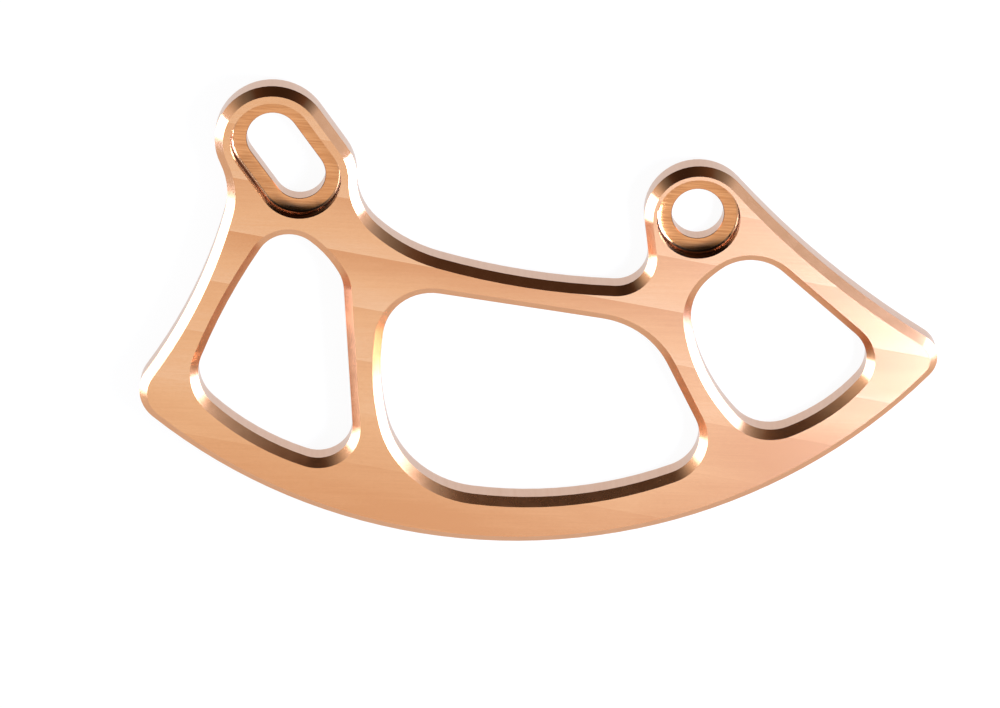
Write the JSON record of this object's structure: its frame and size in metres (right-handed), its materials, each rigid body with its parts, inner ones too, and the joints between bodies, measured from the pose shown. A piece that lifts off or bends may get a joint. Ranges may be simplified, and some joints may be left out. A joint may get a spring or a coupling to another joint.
{
  "type": "chainring guard",
  "caption": "Flat copper-anodised plate with a curved rim, window cut-outs and recessed screw seats, bolted beside a bicycle chainring to take knocks from below.",
  "frame": {"origin": "centre of the round fixing hole, on the plate's back face", "axes": "+Z out of the front face, along the fixing hole; +X along the plate's length towards the right-hand tip; +Y from the rim up towards the fixing tabs; the plate lies on its back face at z = 0"},
  "size_m": [0.0985, 0.0602, 0.0044],
  "materials": {
    "copper_anodised": "satin milled face, polished chamfers, copper-coloured anodising"
  },
  "bodies": {
    "root": {"guard_plate": "copper_anodised"}
  },
  "joints": []
}
